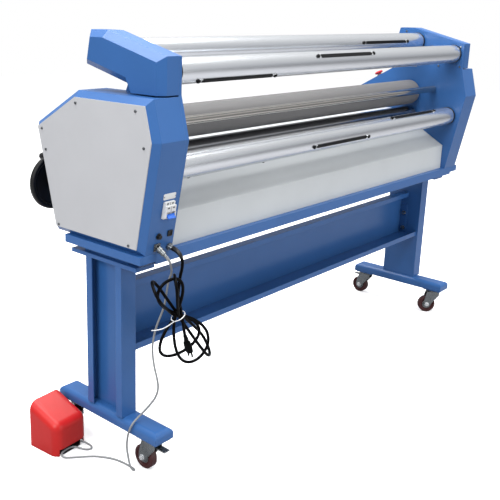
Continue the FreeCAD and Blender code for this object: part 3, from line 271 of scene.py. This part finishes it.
def lathe(profile, turns=32):
    """Points and faces of a profile of (along, radius) turned about local Z."""
    points, faces = [], []
    for along, radius in profile:
        for i in range(turns):
            a = 2 * math.pi * i / turns
            points.append(Vector((radius * math.cos(a), radius * math.sin(a), along)))
    for ring in range(len(profile) - 1):
        for i in range(turns):
            j = (i + 1) % turns
            a, b = ring * turns, (ring + 1) * turns
            faces.append((a + i, a + j, b + j, b + i))
    faces.append(tuple(reversed(range(turns))))
    last = (len(profile) - 1) * turns
    faces.append(tuple(range(last, last + turns)))
    return points, faces


def block(size, round_by=0.0):
    """A block centred on its origin, with its upright edges cut back."""
    x, y, z = (s / 2 for s in size)
    r = round_by
    ring = [(x, -y), (x, y), (-x, y), (-x, -y)]
    if r:
        ring = [(x - r, -y), (x, -y + r), (x, y - r), (x - r, y),
                (-x + r, y), (-x, y - r), (-x, -y + r), (-x + r, -y)]
    count = len(ring)
    points = [Vector((a, b, h)) for h in (-z, z) for a, b in ring]
    faces = [(i, (i + 1) % count, count + (i + 1) % count, count + i) for i in range(count)]
    faces += [tuple(reversed(range(count))), tuple(range(count, 2 * count))]
    return points, faces


def mesh_of(name, shapes, smooth):
    """One mesh from (points, faces, matrix) shapes."""
    points, faces = [], []
    for shape_points, shape_faces, matrix in shapes:
        start = len(points)
        points += [matrix @ p for p in shape_points]
        faces += [tuple(start + i for i in face) for face in shape_faces]
    mesh = bpy.data.meshes.new(name)
    mesh.from_pydata(points, [], faces)
    mesh.update()
    if smooth:
        mesh.polygons.foreach_set("use_smooth", [True] * len(mesh.polygons))
        mesh.set_sharp_from_angle(angle=math.radians(SHARP_FROM))
    return mesh


def add_mesh(name, shapes, look, body, smooth=True):
    return add_piece(name, mesh_of(name, shapes, smooth), look, body)


def facing(spot, direction):
    """A matrix at spot whose local Z looks along direction."""
    turn = Vector(direction).to_track_quat("Z", "Y").to_matrix().to_4x4()
    return Matrix.Translation(spot) @ turn


# ---------------------------------------------------------------- media shafts

SHAFT_RADIUS = 36.5
# shaft, its axis, and the turn of its first strip about X, from +Y towards +Z
SHAFTS = {"upper_front_shaft": ((-6, 1219), 173), "upper_rear_shaft": ((-174, 1174), 57),
          "lower_rear_shaft": ((-175, 914), 112)}
STRIP_MIDDLES = (520, -30, -595)
STRIP_LENGTH = 318
STRIP_STEP = 86
CLIP_GAP, SCREW_GAP = 8, 14
SHAFT_FACE = 842.2


def shaft_strips():
    """Grip strips let into each shaft: a rubber bar, and a steel clip and a screw at each end."""
    for shaft, ((y, z), start) in SHAFTS.items():
        bars, clips = [], []
        for i, middle in enumerate(STRIP_MIDDLES):
            a = math.radians(start + i * STRIP_STEP)
            out = Vector((0, math.cos(a), math.sin(a)))
            seat = mm(middle, y, z) + out * SHAFT_RADIUS * MM
            turn = frame_along_x(out)
            bars.append((*block((0.0115, STRIP_LENGTH * MM, 0.006), 0.003),
                         Matrix.Translation(seat) @ turn))
            for end in (-1, 1):
                clip = seat + Vector((end * (STRIP_LENGTH / 2 + CLIP_GAP) * MM, 0, 0))
                screw = seat + Vector((end * (STRIP_LENGTH / 2 + SCREW_GAP) * MM, 0, 0))
                clips.append((*block((0.013, 0.020, 0.004), 0.003),
                              Matrix.Translation(clip) @ turn))
                bars.append((*lathe([(-0.002, 0.0066), (0.004, 0.0066), (0.0056, 0.005)], 20),
                             facing(screw, out)))
        add_mesh(shaft + "_strips", bars, GRIP_RUBBER, shaft)
        add_mesh(shaft + "_clips", clips, WHITE_METAL, shaft)


def frame_along_x(out):
    """A turn that takes local Z to out and local Y to the machine's X."""
    across = Vector((1, 0, 0)).cross(out)
    return Matrix((across, Vector((1, 0, 0)), out)).transposed().to_4x4()


def shaft_caps():
    """Black moulded caps that close the shafts' ends."""
    for shaft, ((y, z), _) in SHAFTS.items():
        caps = []
        for side in (-1, 1):
            profile = [(0, 0.0345), (0.0008, 0.0378), (0.0066, 0.0378), (0.0086, 0.0362),
                       (0.0086, 0.018)]
            caps.append((*lathe(profile, 48), facing(mm(side * SHAFT_FACE, y, z), (side, 0, 0))))
        add_mesh(shaft + "_caps", caps, BLACK, shaft)


# ---------------------------------------------------------------- cords

PEDAL_ROUTE = [
    (-909, -222, 681), (-906.4, -231, 673.5), (-897, -228, 655),
    (-883, -219, 630), (-882, -205, 602), (-884, -199, 562), (-885, -192, 521), (-888, -179, 487),
    (-892, -167, 454), (-896, -159, 412), (-898, -158, 376), (-900, -169, 331), (-900, -181, 301),
    (-900, -187, 272), (-901, -179, 243), (-904, -162, 215), (-912, -141, 185), (-927, -129, 164),
    (-942, -128, 156), (-953, -125, 142), (-957, -118, 118), (-957, -113, 90), (-957, -112, 66),
    (-958, -119, 44), (-961, -129, 23), (-960, -134, 12), (-956, -138, 5), (-951, -139, 3.2),
    (-947.5, -133, 3.1), (-947, -120, 3.1), (-947, -98, 3.2), (-950, -68, 3.1), (-961, -36, 3.2),
    (-982, -2, 3.1), (-1008, 21, 3.2), (-1034, 41, 3.1), (-1051, 54, 3.3), (-1060, 62, 5),
    (-1060, 71, 8), (-1052, 79, 10), (-1034, 84, 10.5), (-1014, 85, 10.3), (-1000, 79, 8.5),
    (-991, 67, 4.6), (-984, 53, 3.2), (-974, 43, 3.2), (-962, 43, 3.2), (-956, 54, 3.3),
    (-957, 68, 4.6), (-962, 80, 8.3), (-970, 90, 10.5),
]
MAINS_ROUTE = [
    (-868, -207, 693.8), (-868, -222.7, 690.8), (-868, -236.3, 680.8), (-867, -244, 664),
    (-868, -243, 643), (-869, -238, 624), (-868, -233, 600), (-867, -229, 572), (-867, -227, 542),
]
WAIST = (-876, -238, 506)
# each loop's tip from the waist, its width, how far it turns edge-on in degrees, the side that it
# starts on, and its shape: below 1 a blunt fold, 1 a lens, above it a round teardrop
HANK_LOOPS = [
    ((30, 4, -126), 150, 12, 1, 1.25), ((-98, -6, 112), 70, 54, -1, 0.7),
    ((106, 0, -160), 108, 10, -1, 1.15), ((-58, -10, 118), 92, -20, 1, 1.15),
    ((126, -2, -146), 70, -50, -1, 0.7), ((-36, -12, 128), 68, 52, -1, 0.7),
]
# where each strand passes the waist, across and in depth
STRAND_SPOTS = [(11, 9), (-9, 9), (4, 3), (-12, 2), (12, -4), (-5, -6), (4, -11)]
# points of the spline to each turn
LOOP_POINTS = 15
TIE_POINTS, TIE_START = 12, 200
TO_PLUG = [(-874, -257, 482), (-877, -264, 464), (-876.2, -265, 456)]


def hank_points():
    """The tied hank: six closed loops from the waist, three below the tie and three above it."""
    points = []
    for i, ((dx, dy, dz), width, turned, side, shape) in enumerate(HANK_LOOPS):
        reach = math.hypot(dx, dz)
        flat, edge = math.cos(math.radians(turned)), math.sin(math.radians(turned))
        across = Vector((dz / reach * flat, edge, -dx / reach * flat)) * side * width / 2
        before, after = STRAND_SPOTS[i], STRAND_SPOTS[i + 1]
        for step in range(LOOP_POINTS):
            t = step / LOOP_POINTS
            out = math.sin(math.pi * t) ** shape
            spot = Vector(WAIST) + Vector((dx, dy, dz)) * out + across * math.sin(2 * math.pi * t)
            spot.x += before[0] * (1 - t) + after[0] * t
            spot.y += before[1] * (1 - t) + after[1] * t
            points.append(tuple(spot))
    last = STRAND_SPOTS[-1]
    points.append((WAIST[0] + last[0], WAIST[1] + last[1], WAIST[2]))
    return points


def spline_piece(name, route, radius, look, body, taper=None):
    curve = bpy.data.curves.new(name, "CURVE")
    curve.dimensions = "3D"
    curve.bevel_depth = radius
    curve.bevel_resolution = 5
    curve.resolution_u = 10
    curve.use_fill_caps = True
    spline = curve.splines.new("NURBS")
    spline.points.add(len(route) - 1)
    for point, spot in zip(spline.points, route):
        point.co = (*mm(*spot), 1)
    for i, point in enumerate(spline.points):
        point.radius = 1 + (taper - 1) * i / (len(route) - 1) if taper else 1
    spline.order_u = 3
    spline.use_endpoint_u = True
    return add_piece(name, curve, look, body)


def cords():
    cable = spline_piece("pedal_cord", PEDAL_ROUTE, 0.003, CABLE_GREY, "machine")
    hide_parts("pedal_cable")
    route = MAINS_ROUTE + hank_points() + TO_PLUG
    lead = spline_piece("mains_lead", route, 0.0045, CORD_BLACK, "machine")
    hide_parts("mains_cord", "mains_hank")
    plug = plug_piece()
    halfway = tuple((a + b) / 2 for a, b in zip(MAINS_ROUTE[2], MAINS_ROUTE[3]))
    spline_piece("mains_strain_relief", MAINS_ROUTE[:3] + [halfway], 0.0074, BLACK, "machine",
                 0.68)
    halfway = tuple((a + b) / 2 for a, b in zip(PEDAL_ROUTE[1], PEDAL_ROUTE[2]))
    spline_piece("pedal_strain_relief", PEDAL_ROUTE[:2] + [halfway], 0.0046, CABLE_GREY, "machine",
                 0.72)


def plug_piece():
    """The black moulded plug with its ribbed neck and two generic pins."""
    root = facing(mm(-868, -265, 434), (14, 0, -40))
    flat = root @ Matrix.Diagonal((1, 0.68, 1, 1))
    neck = [(-0.021, 0.0052)]
    for rib in range(5):
        along = -0.0195 + rib * 0.0038
        neck += [(along, 0.0057 + rib * 0.0003), (along + 0.0024, 0.0058 + rib * 0.0003),
                 (along + 0.0026, 0.0050 + rib * 0.0003)]
    body = [(0.0, 0.0085), (0.003, 0.0118), (0.010, 0.0132), (0.024, 0.0136), (0.034, 0.0132),
            (0.0375, 0.0118), (0.038, 0.010)]
    shapes = [(*lathe(neck, 24), root), (*lathe(body, 32), flat)]
    shapes += [(*block((0.0018, 0.006, 0.018), 0.0005), root @ Matrix.Translation((x, 0, 0.0465)))
               for x in (-0.007, 0.007)]
    plug = add_mesh("lead_plug", shapes, CORD_BLACK, "machine")
    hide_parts("mains_plug")
    return plug


def hank_tie():
    """The white tie drawn round the waist of the hank, and its long loose tail."""
    middle = Vector(WAIST)
    ring = []
    for step in range(TIE_POINTS + 1):
        a = 2 * math.pi * step / TIE_POINTS + math.radians(TIE_START)
        off = Vector((21 * math.cos(a), 18 * math.sin(a), 9 * math.cos(a) - 2))
        ring.append(tuple(middle + off))
    x, y, z = ring[-1]
    tail = [(x - 12, y - 6, z + 3), (x - 38, y - 8, z - 2), (x - 66, y - 6, z - 5),
            (x - 92, y - 2, z + 1)]
    spline_piece("hank_tie", ring + tail, 0.0014, TIE_WHITE, "machine")


# ---------------------------------------------------------------- fittings

REAR_EDGE = (-248, 1001)
REAR_BASE = (-188, 685)
SLOPE_TOP = (82, 1112)
SLOPE_EDGE = (272, 1004)
LABEL_SPOT = (-896, 849)
BREAKER_SPOT = (-897, 812)
STOP_SPOT = (905, 185)
KNOB_X = -905
PANEL_FACE = 978.7
WHEEL_X, WHEEL_Z, CRANK = -915, 815, 72


def on_line(start, end, x, spot):
    """A matrix on a cabinet's sheet between two (y, z) corners, local Z out, local Y upward."""
    run = Vector((0, end[0] - start[0], end[1] - start[1])).normalized()
    out = Vector((1, 0, 0)).cross(run)
    turn = Matrix((Vector((1, 0, 0)), run, out)).transposed().to_4x4()
    return Matrix.Translation(mm(x, *spot)) @ turn


def on_rear(x, z):
    share = (z - REAR_BASE[1]) / (REAR_EDGE[1] - REAR_BASE[1])
    y = REAR_BASE[0] + share * (REAR_EDGE[0] - REAR_BASE[0])
    return on_line(REAR_BASE, REAR_EDGE, x, (y, z))


def on_slope(x, y):
    share = (y - SLOPE_TOP[0]) / (SLOPE_EDGE[0] - SLOPE_TOP[0])
    z = SLOPE_TOP[1] + share * (SLOPE_EDGE[1] - SLOPE_TOP[1])
    return on_line(SLOPE_TOP, SLOPE_EDGE, x, (y, z))


def put(shape, *steps):
    """A shape moved by the product of the given matrices or offsets."""
    matrix = Matrix.Identity(4)
    for step in steps:
        matrix = matrix @ (step if isinstance(step, Matrix) else Matrix.Translation(step))
    return (*shape, matrix)


def label_plate():
    """A blank plate with a raised rim, riveted at both ends, above the breaker."""
    place = on_rear(*LABEL_SPOT)
    plate = [put(block((0.046, 0.017, 0.0012), 0.002), place, (0, 0, 0.0006)),
             put(block((0.038, 0.010, 0.0006), 0.001), place, (0, 0, 0.0014))]
    add_mesh("blank_label", plate, WHITE, "machine")
    rivets = [put(lathe([(0, 0.0016), (0.0018, 0.0016), (0.0024, 0.0009)], 12), place, (x, 0, 0))
              for x in (-0.0205, 0.0205)]
    add_mesh("label_rivets", rivets, ZINC, "machine")


def breaker_details():
    """The breaker: painted shade for the gap between its two poles and for the wells round its
    terminal screws, its dark state windows, and the terminal screws.
    """
    place = on_rear(*BREAKER_SPOT)
    shade_and_windows, screws = [], []
    # painted shade: thin dark strips along the gap between the breaker's two poles
    shade_and_windows.append(put(block((0.0007, 0.048, 0.0006)), place, (0, 0, 0.0082)))
    shade_and_windows.append(put(block((0.0007, 0.017, 0.0006)), place, (0, 0.0065, 0.0142)))
    for x in (-0.0095, 0.0095):
        # the state windows, dark in their own colour
        shade_and_windows.append(put(block((0.0075, 0.004, 0.0006), 0.0008), place, (x, 0.0095, 0.0142)))
        for y in (0.0195, -0.0212):
            # painted shade: a dark ring round each terminal screw, for its well
            shade_and_windows.append(put(lathe([(0, 0.0031), (0.0005, 0.0031)], 20), place, (x, y, 0.008)))
            screw = lathe([(0.0002, 0.0024), (0.0009, 0.0024), (0.0011, 0.002)], 20)
            screws.append(put(screw, place, (x, y, 0.008)))
    # one mesh of painted shade (gap strips, screw wells) and the dark state windows
    add_mesh("breaker_shade_and_windows", shade_and_windows, DARK_STEEL_AND_SHADE, "machine")
    add_mesh("breaker_screws", screws, ZINC, "machine")


def screw_socket_shade():
    """Painted shade for the hexagon sockets in the end panels' button-head screws: a flat dark
    hexagon on each head, where the socket's hollow would be.
    """
    spots = ((72, 1078), (-172, 1078), (231, 990), (-203, 985), (215, 929), (162, 710),
             (-143, 710))
    # painted shade: flat dark hexagons stand in for the sockets' hollows
    socket_shades = [put(lathe([(0, 0.0026), (0.0004, 0.0026)], 6),
                   facing(mm(side * PANEL_FACE, y, z), (side, 0, 0)))
               for side in (-1, 1) for y, z in spots]
    add_mesh("screw_socket_shade", socket_shades, DARK_STEEL_AND_SHADE, "machine", smooth=False)


# name, x side, y side, and heading of the trailing wheel
CASTERS = (("left_rear", -1, -1, 90), ("left_front", -1, 1, 60), ("right_front", 1, 1, 90),
           ("right_rear", 1, -1, 130))
CASTER_X, CASTER_Y = 909, 175
WHEEL_TRAIL = 30
WHEEL_RADIUS = 37.5
WHEEL_HALF = 12
RACE_HEIGHT = 0.1005
HUB_PROFILE = [(0, 0.0195), (0.0012, 0.0195), (0.0016, 0.0178), (0.0010, 0.0165),
               (0.0012, 0.0150), (0.0026, 0.0140), (0.0028, 0.0125)]
WASHER_PROFILE = [(0, 0.0098), (0.0012, 0.0098), (0.0013, 0.0094)]
NUT_PROFILE = [(0.0012, 0.0078), (0.0058, 0.0078), (0.0066, 0.0066)]
RACE_PROFILE = [(0, 0.0245), (0.0015, 0.0262), (0.0032, 0.0262), (0.0044, 0.0245)]


def caster_details():
    """Hub discs let into each wheel, the axle's nuts outside the fork, and the swivel's race."""
    for name, x_side, y_side, heading in CASTERS:
        place = Matrix.Translation(mm(x_side * CASTER_X, y_side * CASTER_Y, 0)) @ Matrix.Rotation(
            math.radians(heading), 4, "Z")
        hubs, nuts, races = [], [], []
        for side in (-1, 1):
            axle = facing(mm(WHEEL_TRAIL, side * (WHEEL_HALF - 3), WHEEL_RADIUS), (0, side, 0))
            hubs.append(put(lathe(HUB_PROFILE, 40), place, axle))
            outer = facing(mm(WHEEL_TRAIL, side * (WHEEL_HALF + 4), WHEEL_RADIUS), (0, side, 0))
            nuts.append(put(lathe(WASHER_PROFILE, 28), place, outer))
            nuts.append(put(lathe(NUT_PROFILE, 6), place, outer))
        races.append(put(lathe(RACE_PROFILE, 40), place, (0, 0, RACE_HEIGHT)))
        body = "caster_" + name
        add_mesh(body + "_hub_discs", hubs, ZINC, body + "_wheel")
        add_mesh(body + "_axle_nuts", nuts, WHITE_METAL, body + "_fork")
        add_mesh(body + "_race", races, ZINC, body + "_fork")


def stop_button():
    """The red mushroom head with its rolled rim and three turning arrows."""
    place = on_slope(*STOP_SPOT)
    head = [(0.006, 0.0079), (0.0165, 0.0079), (0.0168, 0.0135), (0.0182, 0.0168),
            (0.0205, 0.018), (0.0232, 0.0178), (0.0252, 0.0160), (0.0264, 0.0125),
            (0.0269, 0.0070), (0.027, 0.0015)]
    piece = add_mesh("stop_head", [put(lathe(head, 48), place)], STOP_RED, "estop_button")
    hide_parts("estop_button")
    arrows = []
    for i in range(3):
        turn = Matrix.Rotation(2 * math.pi * i / 3, 4, "Z")
        arrows.append(put(block((0.006, 0.0016, 0.0006)), place, turn, (0, 0.0085, 0.0268)))
        arrows.append(put(block((0.0016, 0.0036, 0.0006)), place, turn, (0.0028, 0.0078, 0.0268)))
    add_mesh("stop_arrows", arrows, WHITE, "estop_button", smooth=False)


def knob_scales():
    """Plain tick scales round the two operator knobs, and a white line on each."""
    for name, y, low, high, count, radius in (("speed_knob", 135, -140, 140, 11, 0.0175),
                                              ("run_switch", 205, -45, 45, 3, 0.0155)):
        place = on_slope(KNOB_X, y)
        ticks = []
        for i in range(count):
            a = math.radians(low + (high - low) * i / (count - 1))
            ticks.append(put(block((0.0011, 0.0042, 0.0005)), place, Matrix.Rotation(-a, 4, "Z"),
                             (0, radius, 0.0004)))
        add_mesh(name + "_scale", ticks, WHITE, "machine", smooth=False)
        line = [put(block((0.0012, 0.009, 0.0004)), place, (0, 0.009, 0.0171))]
        add_mesh(name + "_line", line, WHITE, name, smooth=False)


PEDAL_PLACE = Matrix.Translation(mm(-944, 85.6, 0)) @ Matrix.Rotation(math.radians(5), 4, "Z")
TREADLE_TILT = Matrix.Rotation(math.radians(6), 4, "X")


def treadle_ribs():
    """Raised anti-slip ribs across the treadle."""
    hinge = mm(-65, 26, 24)
    ribs = [put(block((0.092, 0.0032, 0.0022), 0.0012), PEDAL_PLACE, hinge, TREADLE_TILT,
                (0, 0.016 + i * 0.009, 0.0058)) for i in range(8)]
    add_mesh("treadle_ribs", ribs, TREADLE, "pedal_treadle")


def wheel_grip():
    """The handwheel's crank grip on its collar, and a cap on the hub."""
    collar = [(0, 0.0115), (0.003, 0.0115), (0.004, 0.0095)]
    handle = [(0.004, 0.0096), (0.012, 0.0118), (0.026, 0.0128), (0.040, 0.0122), (0.050, 0.0108),
              (0.0555, 0.0075), (0.0575, 0.0030)]
    cap = [(-0.001, 0.0168), (0.0012, 0.0164), (0.0026, 0.0140), (0.0032, 0.0090)]
    seat = facing(mm(WHEEL_X, 270, WHEEL_Z + CRANK), (0, 1, 0))
    hub = facing(mm(WHEEL_X, 283, WHEEL_Z), (0, 1, 0))
    shapes = [put(lathe(collar, 32), seat), put(lathe(handle, 32), seat),
              put(lathe(cap, 32), hub)]
    add_mesh("handwheel_handle", shapes, BLACK, "handwheel")


# ---------------------------------------------------------------- floor and lights

FLOOR_HALF = 12
FLOOR_DROP = 0.0008
# name, place, what it points at, width, and power in watts
LIGHTS = (("key", (-4.6, -0.6, 3.2), (-0.4, 0, 0.8), 2.4, 150),
          ("fill", (0.8, -4.8, 1.5), (0, 0, 0.5), 3.0, 84),
          ("top", (0, 0.2, 4.4), (0, 0, 0.8), 4.5, 480))
# the sky's colours, and how high up, from 0 to 1, the last two are reached
HORIZON = (0.32, 0.33, 0.35, 1)
LOW_SKY, LOW_SKY_AT = (0.6, 0.61, 0.63, 1), 0.22
OVERHEAD_FROM = 0.75
SKY_STRENGTH = 0.8


def stage():
    floor = bpy.data.meshes.new("floor")
    half = FLOOR_HALF
    floor.from_pydata([(-half, -half, 0), (half, -half, 0), (half, half, 0), (-half, half, 0)], [],
                      [(0, 1, 2, 3)])
    floor.materials.append(FLOOR)
    ground = bpy.data.objects.new("floor", floor)
    ground.location.z = -FLOOR_DROP
    bpy.context.scene.collection.objects.link(ground)
    studio_world()
    for name, spot, aim, size, power in LIGHTS:
        light = bpy.data.lights.new(name, "AREA")
        light.size = size
        light.energy = power
        lamp = bpy.data.objects.new(name, light)
        lamp.matrix_world = facing(Vector(spot), Vector(spot) - Vector(aim))
        bpy.context.scene.collection.objects.link(lamp)


def studio_world():
    """A white room: bright overhead, dimmer towards the horizon, with a plain white backdrop."""
    world = bpy.data.worlds.new("studio")
    bpy.context.scene.world = world
    world.use_nodes = True
    tree = world.node_tree
    place = tree.nodes.new("ShaderNodeTexCoord").outputs["Generated"]
    split = tree.nodes.new("ShaderNodeSeparateXYZ")
    tree.links.new(place, split.inputs[0])
    ramp = tree.nodes.new("ShaderNodeValToRGB")
    stops = ramp.color_ramp.elements
    stops[0].position, stops[0].color = 0.0, HORIZON
    stops[1].position, stops[1].color = OVERHEAD_FROM, PURE_WHITE
    stops.new(LOW_SKY_AT).color = LOW_SKY
    tree.links.new(split.outputs["Z"], ramp.inputs["Fac"])
    room = tree.nodes["Background"]
    room.inputs["Strength"].default_value = SKY_STRENGTH
    tree.links.new(ramp.outputs["Color"], room.inputs["Color"])
    backdrop = tree.nodes.new("ShaderNodeBackground")
    backdrop.inputs["Color"].default_value = PURE_WHITE
    only_seen(tree, backdrop, room, "World Output")
    bpy.context.scene.view_settings.view_transform = "Standard"


make_camera()
dress_nodes()
cords()
hank_tie()
shaft_strips()
shaft_caps()
label_plate()
breaker_details()
screw_socket_shade()
caster_details()
stop_button()
knob_scales()
treadle_ribs()
wheel_grip()
stage()
